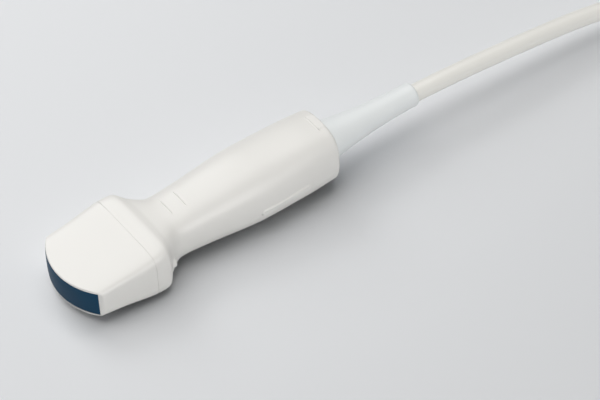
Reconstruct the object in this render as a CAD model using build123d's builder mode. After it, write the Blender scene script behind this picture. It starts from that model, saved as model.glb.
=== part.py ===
from build123d import *
from math import atan2, cos, pi, radians, sin, tan

# Convex ultrasound transducer with its cable and system connector, in millimetres.
# The probe lies on the table as it comes to rest, nose towards -X, cable towards +X, +Z up.
# Along the probe, places are counted from the lens's foremost point.

# Lens and sound stack
lens_radius = 29.6
lens_width = 37.4
lens_height = 11.7
lens_thickness = 1.4
lens_proud = 0.3
array_margin = 1.1
outer_matching_thickness = 0.4
inner_matching_thickness = 0.4
piezo_thickness = 0.7
backing_depth = 11.0
bond_line = 0.06

# Outer form of the probe: place, width, height and fullness of its main cross-sections.
# A fullness of 0.55 is an ellipse, and about 1.1 is nearly a rectangle.
front_place = -1.0
front_width = 39.2
front_height = 12.6
front_fullness = 1.1
seam_place = 32.5
seam_width = 43.6
seam_height = 22.4
seam_fullness = 1.04
shoulder_place = 38.6
shoulder_width = 42.6
shoulder_height = 24.3
shoulder_fullness = 0.99
neck_place = 50.0
neck_width = 27.0
neck_height = 21.8
neck_fullness = 0.71
grip_place = 92.0
grip_width = 32.6
grip_height = 29.2
grip_fullness = 0.64
tail_place = 127.2
tail_width = 27.4
tail_height = 27.6
tail_fullness = 0.76
form_step = 4.2

# Shells
shell_wall = 2.0
front_wall = 2.2
tail_wall = 3.5
tail_round = 1.6
seam_groove_width = 0.3
seam_groove_depth = 0.3
neck_line_places = (51.5, 58.0)
neck_line_length = 9.0
neck_line_width = 0.45
neck_line_depth = 0.3
tail_notch_length = 4.0
tail_notch_width = 8.8
tail_notch_depth = 0.6
side_bar_start = 86.0
side_bar_end = 111.0
side_bar_height = 3.6
side_bar_drop = 2.4
side_bar_front_rise = 0.65
side_bar_rear_rise = 0.45
mark_place = 43.6
mark_length = 2.6
mark_height = 4.2
mark_drop = 2.3
mark_rise = 0.7
mark_root = 1.2
rib_places = (68.0, 86.0)
rib_thickness = 2.0
seal_length = 4.0
seal_thickness = 1.2
seal_clearance = 0.5

# Chassis, boards and their wiring
chassis_start = 22.0
chassis_gap = 2.0
chassis_width = 14.0
chassis_thickness = 2.0
board_start = 50.0
board_end = 98.0
board_width = 18.0
board_thickness = 1.2
standoff_height = 2.4
standoff_radius = 1.6
standoff_inset = 6.0
standoff_places = (62.5, 93.0)
socket_setback = 2.1
socket_length = 6.0
socket_width = 15.0
socket_height = 1.6
flex_thickness = 0.25
flex_gap = 0.1
flex_start = 11.0
flex_front_width = 26.0
flex_rear_width = 13.0
flex_waist_place = 40.0
carrier_plate_thickness = 3.4
carrier_clearance = 1.0
carrier_spine_width = 12.0
carrier_spine_height = 1.9
carrier_overlap = 12.0
carrier_screw_spacing = 6.0
fit_clearance = 0.05
assembly_clearance = 0.1

# Small machine screws
screw_radius = 0.9
screw_head_radius = 1.8
screw_head_height = 1.1

# Cable entry
cable_diameter = 7.8
cable_stub = 2.0
clamp_setback = 19.2
clamp_length = 8.0
clamp_width = 20.8
clamp_height = 6.0
clamp_screw_inset = 7.4
boot_flange_radius = 10.6
boot_flange_length = 4.2
boot_neck_radius = 8.0
boot_base_radius = 9.0
boot_waist_length = 17.8
boot_waist_radius = 6.6
boot_length = 46.8
boot_end_radius = 5.2
boot_end_round = 1.2
cable_lead = 2.0

# Put-away cable: a stack of turns, and the last straight run on top of them
hank_start = 270.0
hank_straight = 100.0
hank_offset = 6.0
hank_turns = 4
hank_bend = 3 * cable_diameter
tie_thickness = 1.1
tie_width = 16.0

# System connector, lying on its mating face
connector_start = 482.0
connector_length = 82.0
connector_width = 56.0
connector_height = 38.0
connector_split = 20.7
connector_offset = 6.0
connector_entry_offset = -10.0
connector_corner = 6.0
connector_wall = 2.6
connector_roof = 2.8
cover_edge_round = 4.0
recess_length = 62.0
recess_width = 34.0
recess_depth = 6.4
recess_corner = 1.0
recess_floor = 2.6
shroud_wall = 3.0
shroud_seat = 1.6
window_length = 56.0
window_width = 26.0
contact_flange_rim = 2.0
contact_flange_height = 3.0
contact_length = 1.6
contact_width = 1.0
contact_height = 0.7
contact_pitch = 3.2
contact_field_offset = 18.0
contact_columns = 6
contact_rows = 6
connector_board_length = 58.0
connector_board_width = 40.0
connector_board_thickness = 1.6
boss_radius = 3.4
boss_inset = 5.4
case_screw_radius = 1.3
case_screw_head_radius = 2.5
case_screw_head_height = 2.0
case_screw_sink = 3.0
lock_shaft_radius = 4.0
lock_clearance = 0.3
lock_bar_length = 16.0
lock_bar_width = 5.5
lock_bar_height = 3.0
lock_bar_lift = 1.2
lock_groove_depth = 0.8
lock_clip_radius = 6.6
lock_clip_thickness = 0.9
lock_clip_gap = 5.0
knob_radius = 13.0
knob_base_height = 4.0
knob_grip_length = 42.0
knob_grip_width = 11.0
knob_grip_height = 10.0
knob_seat_depth = 6.0
knob_round = 1.5
lock_screw_radius = 1.5
lock_screw_head_radius = 3.0
lock_screw_head_height = 2.0
lock_screw_length = 9.0
connector_boot_length = 20.0
connector_boot_base_radius = 7.0
connector_boot_end_radius = 5.2
connector_boot_flange_radius = 8.4
connector_boot_flange_length = 2.4
connector_boot_neck_radius = 6.2
connector_clamp_length = 4.6
connector_clamp_width = 16.0
connector_clamp_cap = 6.0

# What closes the handle's rear keeps its distance from the tail
clamp_start = tail_place - clamp_setback
cable_start = clamp_start - cable_stub
chassis_end = cable_start - chassis_gap
boot_waist_place = tail_place + boot_waist_length
boot_end_place = tail_place + boot_length
cable_leave = boot_end_place + cable_lead

# The probe rests on its shoulder and its grip, which sets its tilt and its height
rest_tilt = atan2((grip_height - shoulder_height) / 2, grip_place - shoulder_place)
nose_z = shoulder_height / 2 * cos(rest_tilt) - shoulder_place * sin(rest_tilt)
probe_front = -lens_height / 2 * sin(rest_tilt)
probe_rear = boot_end_place * cos(rest_tilt) + boot_end_radius * sin(rest_tilt)
nose_x = -(probe_front + probe_rear) / 2
axis_dir = (cos(rest_tilt), 0, sin(rest_tilt))
probe_frame = Plane(
    origin=(nose_x, 0, nose_z), x_dir=axis_dir, z_dir=(-sin(rest_tilt), 0, cos(rest_tilt))
)
side_frame = Plane(origin=probe_frame.origin, x_dir=axis_dir, z_dir=(0, -1, 0))
probe_axis = Axis(probe_frame.origin, axis_dir)


def between(first, second, share):
    """Return the value that lies a share of the way from first to second."""
    return first + (second - first) * share


def cross_section(place):
    """Return the plane across the probe at a place along it, with local Y right and up as up."""
    origin = probe_frame.from_local_coords((place, 0, 0))
    return Plane(origin=origin, x_dir=(0, 1, 0), z_dir=axis_dir)


def full_oval(place, width, height, fullness):
    """Return an oval across the probe, drawn as four quarters, the squarer the fuller it is."""
    half_width = width / 2
    half_height = height / 2
    quarters = ((1, 1), (-1, 1), (-1, -1), (1, -1))
    with BuildSketch(cross_section(place)) as oval:
        with BuildLine():
            for number, (side, rise) in enumerate(quarters):
                quarter = [
                    (side * half_width, 0),
                    (side * half_width, rise * fullness * half_height),
                    (side * fullness * half_width, rise * half_height),
                    (0, rise * half_height),
                ]
                Bezier(*(quarter if number % 2 == 0 else reversed(quarter)))
        make_face()
    return oval.sketch


def form_slope(index, column):
    """Return how fast one measure changes along the probe at a main section, never past it."""
    steps = []
    for first, second in zip(form_sections[:-1], form_sections[1:]):
        steps.append((second[column] - first[column]) / (second[0] - first[0]))
    if index == 0:
        return steps[0]
    if index == len(steps):
        return steps[-1]
    before, after = steps[index - 1], steps[index]
    return 2 * before * after / (before + after) if before * after > 0 else 0


def form_at(place):
    """Return the form's width, height and fullness at a place, eased between its sections."""
    index = 0
    while index < len(form_sections) - 2 and form_sections[index + 1][0] < place:
        index += 1
    first, second = form_sections[index], form_sections[index + 1]
    span = second[0] - first[0]
    share = (place - first[0]) / span
    measures = []
    for column in (1, 2, 3):
        start = first[column] * (1 + 2 * share) * (1 - share) ** 2
        end = second[column] * share**2 * (3 - 2 * share)
        leave = form_slope(index, column) * span * share * (1 - share) ** 2
        reach = form_slope(index + 1, column) * span * share**2 * (share - 1)
        measures.append(start + end + leave + reach)
    return measures


def body_form(wall, end):
    """Loft evenly spaced ovals of the form, smaller all round by a wall, up to an end place."""
    steps = round((end - front_place) / form_step)
    ovals = []
    for step in range(steps + 1):
        place = between(front_place, end, step / steps)
        width, height, fullness = form_at(place)
        ovals.append(full_oval(place, width - 2 * wall, height - 2 * wall, fullness))
    loft(ovals)


def arc_layer(outer_radius, thickness, width, height):
    """Add a slab that is bent round the centre of the array's curve."""
    with BuildSketch(probe_frame) as layer:
        with Locations((lens_radius, 0)):
            Circle(outer_radius)
            Circle(outer_radius - thickness, mode=Mode.SUBTRACT)
        with Locations((lens_radius / 2 - lens_proud, 0)):
            Rectangle(lens_radius, width, mode=Mode.INTERSECT)
    extrude(layer.sketch, amount=height / 2, both=True)


def plate(start, end, width, low, high, centre=0.0, mode=Mode.ADD):
    """Add or cut a flat rectangular plate between two places along the probe."""
    with BuildSketch(probe_frame.offset(low)) as outline:
        with Locations(((start + end) / 2, centre)):
            Rectangle(end - start, width)
    extrude(outline.sketch, amount=high - low, mode=mode)


def post(points, radius, low, high, mode=Mode.ADD):
    """Add or cut upright round posts of the probe at points along and across it."""
    with BuildSketch(probe_frame.offset(low)) as outline:
        with Locations(*points):
            Circle(radius)
    extrude(outline.sketch, amount=high - low, mode=mode)


def finish(builder, name):
    """Label a finished piece and write it out."""
    builder.part.label = name
    export_step(builder.part, f"parts/{name}.step")


# Sections between the main ones, each blended from its two neighbours
cheek = (
    between(front_place, seam_place, 0.57),
    between(front_width, seam_width, 0.5),
    between(front_height, seam_height, 0.48),
    between(front_fullness, seam_fullness, 0.4),
)
shoulder_fall = (
    between(shoulder_place, neck_place, 0.375),
    between(shoulder_width, neck_width, 0.53),
    between(shoulder_height, neck_height, 0.68),
    between(shoulder_fullness, neck_fullness, 0.4),
)
waist = (
    between(neck_place, grip_place, 0.29),
    between(neck_width, grip_width, 0.25),
    between(neck_height, grip_height, 0.3),
    between(neck_fullness, grip_fullness, 0.85),
)
palm_rear = (
    between(grip_place, tail_place, 0.59),
    between(grip_width, tail_width, 0.43),
    between(grip_height, tail_height, 0.05),
    between(grip_fullness, tail_fullness, 0.5),
)
form_sections = [
    (front_place, front_width, front_height, front_fullness),
    cheek,
    (seam_place, seam_width, seam_height, seam_fullness),
    (shoulder_place, shoulder_width, shoulder_height, shoulder_fullness),
    shoulder_fall,
    (neck_place, neck_width, neck_height, neck_fullness),
    waist,
    (grip_place, grip_width, grip_height, grip_fullness),
    palm_rear,
    (tail_place, tail_width, tail_height, tail_fullness),
]
cavity_end = tail_place - tail_wall
seam_plane = cross_section(seam_place)

# Outer and inner forms that the moulded shells are cut from
with BuildPart() as outer_form:
    body_form(0, tail_place)
    fillet(outer_form.faces().sort_by(probe_axis)[-1].edges(), tail_round)

with BuildPart() as inner_form:
    body_form(shell_wall, cavity_end)

# Acoustic lens and the layers behind it, from the skin inwards
array_width = lens_width - 2 * array_margin
array_height = lens_height - 2 * array_margin
outer_matching_radius = lens_radius - lens_thickness - bond_line
inner_matching_radius = outer_matching_radius - outer_matching_thickness - bond_line
piezo_radius = inner_matching_radius - inner_matching_thickness - bond_line
backing_radius = piezo_radius - piezo_thickness - bond_line
backing_rear = lens_radius - backing_radius + backing_depth

with BuildPart() as acoustic_lens:
    arc_layer(lens_radius, lens_thickness, lens_width, lens_height)
finish(acoustic_lens, "acoustic_lens")

with BuildPart() as outer_matching_layer:
    arc_layer(outer_matching_radius, outer_matching_thickness, array_width, array_height)
finish(outer_matching_layer, "outer_matching_layer")

with BuildPart() as inner_matching_layer:
    arc_layer(inner_matching_radius, inner_matching_thickness, array_width, array_height)
finish(inner_matching_layer, "inner_matching_layer")

with BuildPart() as piezo_array:
    arc_layer(piezo_radius, piezo_thickness, array_width, array_height)
finish(piezo_array, "piezo_array")

with BuildPart() as backing_block:
    with BuildSketch(probe_frame):
        with Locations((lens_radius, 0)):
            Circle(backing_radius)
        with Locations((backing_rear / 2, 0)):
            Rectangle(backing_rear, array_width, mode=Mode.INTERSECT)
    extrude(amount=array_height / 2, both=True)
finish(backing_block, "backing_block")

# Nose cover: the head in front of the seam, its front bent round the lens
with BuildPart() as nose_cavity:
    add(inner_form.part)
    split(bisect_by=seam_plane, keep=Keep.BOTTOM)
    with BuildSketch(probe_frame):
        with Locations((lens_radius, 0)):
            Circle(lens_radius - lens_proud - front_wall)
    extrude(amount=seam_height, both=True, mode=Mode.INTERSECT)

seam_groove_start = seam_place - seam_groove_width
seam_core = full_oval(
    seam_groove_start,
    seam_width - 2 * seam_groove_depth,
    seam_height - 2 * seam_groove_depth,
    seam_fullness,
)
with BuildPart() as nose_cover:
    add(outer_form.part)
    split(bisect_by=cross_section(seam_groove_start), keep=Keep.BOTTOM)
    with BuildSketch(probe_frame):
        with Locations((lens_radius, 0)):
            Circle(lens_radius - lens_proud)
    extrude(amount=seam_height, both=True, mode=Mode.INTERSECT)
    extrude(seam_core, amount=seam_groove_width)
    add(nose_cavity.part, mode=Mode.SUBTRACT)
    with BuildSketch(probe_frame):
        with Locations((backing_rear / 2, 0)):
            Rectangle(backing_rear, lens_width + 2 * bond_line)
    extrude(amount=lens_height / 2 + bond_line, both=True, mode=Mode.SUBTRACT)
finish(nose_cover, "nose_cover")

# Handle: the form behind the seam in two shells that meet at mid-height, with inner ribs
# that carry the boards, a hole for the boot and the marks that the hand feels
side_bar_length = side_bar_end - side_bar_start
side_bar_front = form_at(side_bar_start)[0] / 2 + side_bar_front_rise
side_bar_rear = form_at(side_bar_end)[0] / 2 + side_bar_rear_rise
side_bar_taper = atan2(side_bar_front - side_bar_rear, side_bar_length)
board_low = chassis_thickness / 2 + standoff_height
board_high = board_low + board_thickness
rib_window_width = board_width + 2 * assembly_clearance
rib_window_height = 2 * (board_high + assembly_clearance)


def handle_blank():
    """Fill a part with both handle shells in one: wall, ribs, boot hole and fine marks."""
    add(outer_form.part)
    split(bisect_by=seam_plane, keep=Keep.TOP)
    add(inner_form.part, mode=Mode.SUBTRACT)
    for place in rib_places:
        width, height, fullness = form_at(place)
        rib = full_oval(place, width - shell_wall, height - shell_wall, fullness)
        extrude(rib, amount=rib_thickness)
        with BuildSketch(cross_section(place)) as rib_window:
            Rectangle(rib_window_width, rib_window_height)
        extrude(rib_window.sketch, amount=rib_thickness, mode=Mode.SUBTRACT)
    with BuildSketch(cross_section(cavity_end)) as boot_hole:
        Circle(boot_neck_radius + fit_clearance)
    extrude(boot_hole.sketch, amount=2 * tail_wall, mode=Mode.SUBTRACT)


with BuildPart() as handle_upper_shell:
    handle_blank()
    split(bisect_by=probe_frame, keep=Keep.TOP)
    for place in neck_line_places:
        line_floor = form_at(place)[1] / 2 - neck_line_depth
        line_end = place + neck_line_width
        plate(place, line_end, neck_line_length, line_floor, grip_height, mode=Mode.SUBTRACT)
    notch_start = tail_place - tail_notch_length
    notch_floor = form_at(notch_start)[1] / 2 - tail_notch_depth
    notch_end = tail_place + tail_wall
    plate(notch_start, notch_end, tail_notch_width, notch_floor, grip_height, mode=Mode.SUBTRACT)
finish(handle_upper_shell, "handle_upper_shell")

with BuildPart() as handle_lower_shell:
    handle_blank()
    split(bisect_by=probe_frame, keep=Keep.BOTTOM)
    for side in (-1, 1):
        bar_origin = probe_frame.from_local_coords(
            (side_bar_start, side * side_bar_front, -side_bar_drop)
        )
        bar_dir = probe_frame.x_dir * cos(side_bar_taper)
        bar_dir = bar_dir + probe_frame.y_dir * (-side * sin(side_bar_taper))
        bar_normal = probe_frame.z_dir.cross(bar_dir) * side
        with BuildSketch(Plane(origin=bar_origin, x_dir=bar_dir, z_dir=bar_normal)):
            with Locations((side_bar_length / 2, 0)):
                SlotOverall(side_bar_length, side_bar_height)
        extrude(amount=-(side_bar_front_rise + shell_wall / 2))
    mark_reach = form_at(mark_place)[0] / 2 + mark_rise
    with BuildSketch(side_frame.offset(mark_reach)):
        with Locations((mark_place, -mark_drop)):
            SlotOverall(mark_height, mark_length, rotation=90)
    extrude(amount=-(mark_rise + mark_root))
finish(handle_lower_shell, "handle_lower_shell")

with BuildPart() as nose_seal:
    seal_start = seam_place - seal_length / 2
    seal_width, seal_height, seal_fullness = form_at(seal_start)
    seal_inset = 2 * (shell_wall + seal_clearance)
    seal_outer = full_oval(
        seal_start, seal_width - seal_inset, seal_height - seal_inset, seal_fullness
    )
    seal_bore = seal_inset + 2 * seal_thickness
    seal_inner = full_oval(
        seal_start, seal_width - seal_bore, seal_height - seal_bore, seal_fullness
    )
    extrude(seal_outer, amount=seal_length)
    extrude(seal_inner, amount=seal_length, mode=Mode.SUBTRACT)
finish(nose_seal, "nose_seal")

# Array carrier behind the backing, chassis and boards
carrier_start = backing_rear + bond_line
carrier_plate_end = carrier_start + carrier_plate_thickness
carrier_width = form_at(carrier_plate_end)[0] - 2 * (shell_wall + carrier_clearance)
carrier_end = chassis_start + carrier_overlap
carrier_low = chassis_thickness / 2 + fit_clearance
carrier_high = carrier_low + carrier_spine_height
carrier_middle = (chassis_start + carrier_end) / 2
carrier_screw_points = [
    (carrier_middle - carrier_screw_spacing / 2, 0),
    (carrier_middle + carrier_screw_spacing / 2, 0),
]
standoff_points = []
for place in standoff_places:
    for side in (-1, 1):
        standoff_points.append((place, side * standoff_inset))
clamp_end = clamp_start + clamp_length
clamp_middle = (clamp_start + clamp_end) / 2
clamp_screw_points = [(clamp_middle, -clamp_screw_inset), (clamp_middle, clamp_screw_inset)]
cable_radius = cable_diameter / 2
arm_inner = cable_radius + 5 * assembly_clearance
arm_width = clamp_width / 2 - arm_inner
screw_hole = screw_radius + assembly_clearance
half_chassis = chassis_thickness / 2

with BuildPart() as array_carrier:
    plate(carrier_start, carrier_plate_end, carrier_width, -array_height / 2, array_height / 2)
    plate(carrier_plate_end, carrier_end, carrier_spine_width, carrier_low, carrier_high)
    post(carrier_screw_points, screw_hole, carrier_low, carrier_high, Mode.SUBTRACT)
finish(array_carrier, "array_carrier")

with BuildPart() as chassis:
    plate(chassis_start, chassis_end, chassis_width, -half_chassis, half_chassis)
    for side in (-1, 1):
        arm_centre = side * (arm_inner + arm_width / 2)
        plate(board_end, clamp_end, arm_width, -half_chassis, half_chassis, arm_centre)
    post(standoff_points, standoff_radius, -board_low, board_low)
    post(standoff_points, screw_hole, -board_low, board_low, Mode.SUBTRACT)
    post(carrier_screw_points, screw_hole, -half_chassis, half_chassis, Mode.SUBTRACT)
    post(clamp_screw_points, screw_hole, -half_chassis, half_chassis, Mode.SUBTRACT)
finish(chassis, "chassis")

with BuildPart() as carrier_screws:
    post(carrier_screw_points, screw_radius, -half_chassis, carrier_high)
    post(carrier_screw_points, screw_head_radius, carrier_high, carrier_high + screw_head_height)
finish(carrier_screws, "carrier_screws")

# The upper board faces up and the lower one down: each piece is made on its own side
flex_low = array_height / 2 + flex_gap
for side, name in ((1, "upper"), (-1, "lower")):
    with BuildPart() as board:
        plate(board_start, board_end, board_width, side * board_low, side * board_high)
        post(standoff_points, screw_hole, side * board_low, side * board_high, Mode.SUBTRACT)
    finish(board, f"{name}_board")

    socket_start = board_start + socket_setback
    with BuildPart() as socket:
        socket_end = socket_start + socket_length
        socket_high = board_high + socket_height
        plate(socket_start, socket_end, socket_width, side * board_high, side * socket_high)
    finish(socket, f"{name}_board_socket")

    with BuildPart() as flex:
        with BuildSketch(probe_frame.offset(side * flex_low)):
            with BuildLine():
                Polyline(
                    (flex_start, flex_front_width / 2),
                    (carrier_plate_end, flex_front_width / 2),
                    (flex_waist_place, flex_rear_width / 2),
                    (socket_start, flex_rear_width / 2),
                    (socket_start, -flex_rear_width / 2),
                    (flex_waist_place, -flex_rear_width / 2),
                    (carrier_plate_end, -flex_front_width / 2),
                    (flex_start, -flex_front_width / 2),
                    close=True,
                )
            make_face()
        extrude(amount=side * flex_thickness)
    finish(flex, f"{name}_flex_circuit")

with BuildPart() as board_screws:
    for side in (-1, 1):
        seat = side * board_high
        post(standoff_points, screw_radius, side * half_chassis / 2, seat)
        post(standoff_points, screw_head_radius, seat, seat + side * screw_head_height)
finish(board_screws, "board_screws")

# Cable entry: wires fanned out to the boards, clamp halves on the chassis arms, and the boot
coax_gap = assembly_clearance
coax_rear_width = 0.8 * cable_diameter
coax_rear_height = cable_radius / 2
clamp_high = half_chassis + clamp_height
for side, name in ((1, "upper"), (-1, "lower")):
    with BuildPart() as coax_fan:
        with BuildSketch(cross_section(board_end + coax_gap)):
            with Locations((0, side * (board_low + board_high) / 2)):
                Rectangle(board_width - standoff_radius, board_thickness)
        with BuildSketch(cross_section(cable_start - coax_gap)):
            with Locations((0, side * (half_chassis + coax_gap + coax_rear_height / 2))):
                Rectangle(coax_rear_width, coax_rear_height)
        loft()
    finish(coax_fan, f"{name}_coax_fan")

    with BuildPart() as cable_clamp:
        plate(clamp_start, clamp_end, clamp_width, side * half_chassis, side * clamp_high)
        with BuildSketch(cross_section(clamp_start)):
            Circle(cable_radius + fit_clearance)
        extrude(amount=clamp_length, mode=Mode.SUBTRACT)
        post(clamp_screw_points, screw_hole, side * half_chassis, side * clamp_high, Mode.SUBTRACT)
    finish(cable_clamp, f"{name}_cable_clamp")

with BuildPart() as clamp_screws:
    post(clamp_screw_points, screw_radius, -clamp_high, clamp_high)
    post(clamp_screw_points, screw_head_radius, clamp_high, clamp_high + screw_head_height)
finish(clamp_screws, "clamp_screws")

boot_bore = cable_radius + fit_clearance
boot_flange_end = cavity_end - fit_clearance
boot_flange_start = boot_flange_end - boot_flange_length
boot_base = tail_place + fit_clearance
boot_rim_place = boot_end_place - boot_end_round
boot_rim_radius = boot_end_radius - boot_end_round
with BuildPart() as strain_relief:
    with BuildSketch(side_frame):
        with BuildLine():
            Polyline(
                (boot_end_place, boot_rim_radius),
                (boot_end_place, boot_bore),
                (boot_flange_start, boot_bore),
                (boot_flange_start, boot_flange_radius),
                (boot_flange_end, boot_flange_radius),
                (boot_flange_end, boot_neck_radius),
                (boot_base, boot_neck_radius),
                (boot_base, boot_base_radius),
            )
            Spline(
                (boot_base, boot_base_radius),
                (boot_waist_place, boot_waist_radius),
                (boot_rim_place, boot_end_radius),
            )
            ThreePointArc(
                (boot_rim_place, boot_end_radius),
                (
                    boot_rim_place + boot_end_round * sin(pi / 4),
                    boot_rim_radius + boot_end_round * cos(pi / 4),
                ),
                (boot_end_place, boot_rim_radius),
            )
        make_face()
    revolve(axis=probe_axis)
finish(strain_relief, "strain_relief")

# Cable: out of the boot in line with the probe, down to the table, then along the hank's side
hank_low = tie_thickness + assembly_clearance
hank_far = hank_start + hank_straight
near_strand = hank_offset - hank_bend
far_strand = hank_offset + hank_bend
first_layer = hank_low + cable_radius
top_layer = first_layer + (hank_turns - 1) * cable_diameter
tail_layer = top_layer + cable_diameter
entry_line = connector_offset + connector_entry_offset
cable_route = [
    probe_frame.from_local_coords((cable_start, 0, 0)),
    probe_frame.from_local_coords((cable_leave, 0, 0)),
    Vector(137, 0.2, 16.6),
    Vector(196, 0.5, 11.4),
    Vector(hank_start - 40, near_strand + 6.9, first_layer + 2.3),
    Vector(hank_start - 20, near_strand + 1.2, first_layer + 0.4),
    Vector(hank_start - 8, near_strand, first_layer),
]
tail_route = [
    Vector(hank_start + 2, near_strand, top_layer),
    Vector(hank_start + 32, near_strand, tail_layer),
    Vector(hank_far + 34, near_strand, tail_layer + assembly_clearance),
    Vector(connector_start - 40, entry_line, connector_split),
    Vector(connector_start + 8, entry_line, connector_split),
]


def bend_radii(route):
    """Return the largest arc for each corner of a route: 0.45 of its shorter run each side."""
    radii = []
    for before, corner, after in zip(route[:-2], route[1:-1], route[2:]):
        turn = radians((corner - before).get_angle(after - corner))
        shorter = min((corner - before).length, (after - corner).length)
        radii.append(0.45 * shorter / tan(turn / 2))
    return radii


for route, name in ((cable_route, "cable"), (tail_route, "cable_tail")):
    radii = bend_radii(route)
    with BuildPart() as tube:
        with BuildLine():
            run = FilletPolyline(*route, radius=radii)
        with BuildSketch(Plane(origin=run @ 0, z_dir=run % 0)):
            Circle(cable_radius)
        sweep()
    finish(tube, name)
    plain_volume = pi * cable_radius**2 * run.length
    print(name, "length", round(run.length), "radii", [round(radius) for radius in radii])
    print(name, "volume over section times length", round(tube.part.volume / plain_volume, 4))

with BuildPart() as cable_hank:
    with BuildSketch(Plane.XY.offset(hank_low)):
        with Locations((hank_start + hank_straight / 2, hank_offset)):
            SlotCenterToCenter(hank_straight, 2 * (hank_bend + cable_radius))
            SlotCenterToCenter(
                hank_straight, 2 * (hank_bend - cable_radius), mode=Mode.SUBTRACT
            )
    extrude(amount=hank_turns * cable_diameter)
finish(cable_hank, "cable_hank")

strand_height = hank_turns * cable_diameter
tie_inside = 2 * assembly_clearance
tie_outside = tie_inside + 2 * tie_thickness
tie_plane = Plane(
    origin=(
        hank_start + (hank_straight - tie_width) / 2,
        far_strand,
        hank_low + strand_height / 2,
    ),
    x_dir=(0, 1, 0),
    z_dir=(1, 0, 0),
)
with BuildPart() as cable_tie:
    with BuildSketch(tie_plane):
        Rectangle(cable_diameter + tie_outside, strand_height + tie_outside)
        Rectangle(cable_diameter + tie_inside, strand_height + tie_inside, mode=Mode.SUBTRACT)
    extrude(amount=tie_width)
finish(cable_tie, "cable_tie")

# System connector: base, shroud round the mating recess, cover, contacts and quarter-turn lock
connector_frame = Plane.XY.move(
    Location((connector_start + connector_length / 2, connector_offset, 0))
)
entry_plane = Plane(
    origin=(connector_start, entry_line, connector_split), x_dir=(0, 1, 0), z_dir=(1, 0, 0)
)
entry_side = Plane(origin=entry_plane.origin, x_dir=(1, 0, 0), z_dir=(0, -1, 0))
base_floor = recess_depth + recess_floor
cover_ceiling = connector_height - connector_roof
inner_length = connector_length - 2 * connector_wall
inner_width = connector_width - 2 * connector_wall
inner_corner = connector_corner - connector_wall
boss_along = connector_length - 2 * boss_inset
boss_across = connector_width - 2 * boss_inset
case_screw_hole = case_screw_radius + assembly_clearance
shaft_hole = lock_shaft_radius + lock_clearance
shroud_length = recess_length + 2 * shroud_wall
shroud_width = recess_width + 2 * shroud_wall
groove_length = shroud_length + 2 * fit_clearance
groove_width = shroud_width + 2 * fit_clearance
core_length = recess_length - 2 * fit_clearance
core_width = recess_width - 2 * fit_clearance

with BuildPart() as connector_base:
    with BuildSketch(connector_frame.offset(recess_depth)):
        RectangleRounded(connector_length, connector_width, connector_corner)
    extrude(amount=connector_split - recess_depth)
    with BuildSketch(connector_frame.offset(base_floor)):
        RectangleRounded(inner_length, inner_width, inner_corner)
    extrude(amount=connector_split, mode=Mode.SUBTRACT)
    with BuildSketch(connector_frame.offset(base_floor)):
        with GridLocations(boss_along, boss_across, 2, 2):
            Circle(boss_radius)
    extrude(amount=connector_split - base_floor)
    with BuildSketch(connector_frame.offset(recess_depth)):
        RectangleRounded(groove_length, groove_width, recess_corner + shroud_wall)
        RectangleRounded(core_length, core_width, recess_corner, mode=Mode.SUBTRACT)
    extrude(amount=shroud_seat, mode=Mode.SUBTRACT)
    with BuildSketch(connector_frame.offset(recess_depth)):
        Rectangle(window_length, window_width)
        with GridLocations(boss_along, boss_across, 2, 2):
            Circle(case_screw_hole)
    extrude(amount=connector_split, mode=Mode.SUBTRACT)
    with BuildSketch(connector_frame.offset(recess_depth)):
        with GridLocations(boss_along, boss_across, 2, 2):
            Circle(case_screw_head_radius + assembly_clearance)
    extrude(amount=case_screw_sink, mode=Mode.SUBTRACT)
    with BuildSketch(entry_plane):
        Circle(connector_boot_neck_radius + fit_clearance)
    extrude(amount=connector_wall, mode=Mode.SUBTRACT)
finish(connector_base, "connector_base")

with BuildPart() as connector_shroud:
    with BuildSketch(connector_frame):
        RectangleRounded(shroud_length, shroud_width, recess_corner + shroud_wall)
        RectangleRounded(recess_length, recess_width, recess_corner, mode=Mode.SUBTRACT)
    extrude(amount=recess_depth + shroud_seat - fit_clearance)
finish(connector_shroud, "connector_shroud")

with BuildPart() as connector_cover:
    with BuildSketch(connector_frame.offset(connector_split)):
        RectangleRounded(connector_length, connector_width, connector_corner)
    extrude(amount=connector_height - connector_split)
    fillet(connector_cover.faces().sort_by(Axis.Z)[-1].edges(), cover_edge_round)
    with BuildSketch(connector_frame.offset(connector_split)):
        RectangleRounded(inner_length, inner_width, inner_corner)
    extrude(amount=cover_ceiling - connector_split, mode=Mode.SUBTRACT)
    with BuildSketch(connector_frame.offset(connector_split)):
        with GridLocations(boss_along, boss_across, 2, 2):
            Circle(boss_radius)
    extrude(amount=cover_ceiling - connector_split)
    with BuildSketch(connector_frame.offset(connector_split)):
        with GridLocations(boss_along, boss_across, 2, 2):
            Circle(case_screw_hole)
    extrude(amount=cover_ceiling - connector_split, mode=Mode.SUBTRACT)
    with BuildSketch(connector_frame.offset(connector_split)):
        Circle(shaft_hole)
    extrude(amount=connector_height, mode=Mode.SUBTRACT)
    with BuildSketch(entry_plane):
        Circle(connector_boot_neck_radius + fit_clearance)
    extrude(amount=connector_wall, mode=Mode.SUBTRACT)
finish(connector_cover, "connector_cover")

contact_top = base_floor + contact_flange_height
with BuildPart() as contact_block:
    with BuildSketch(connector_frame.offset(recess_depth)):
        Rectangle(window_length - 2 * assembly_clearance, window_width - 2 * assembly_clearance)
    extrude(amount=recess_floor)
    with BuildSketch(connector_frame.offset(base_floor)):
        Rectangle(window_length + 2 * contact_flange_rim, window_width + 2 * contact_flange_rim)
    extrude(amount=contact_flange_height)
    with BuildSketch(connector_frame.offset(recess_depth)):
        Circle(shaft_hole)
    extrude(amount=contact_top - recess_depth, mode=Mode.SUBTRACT)
finish(contact_block, "contact_block")

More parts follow.
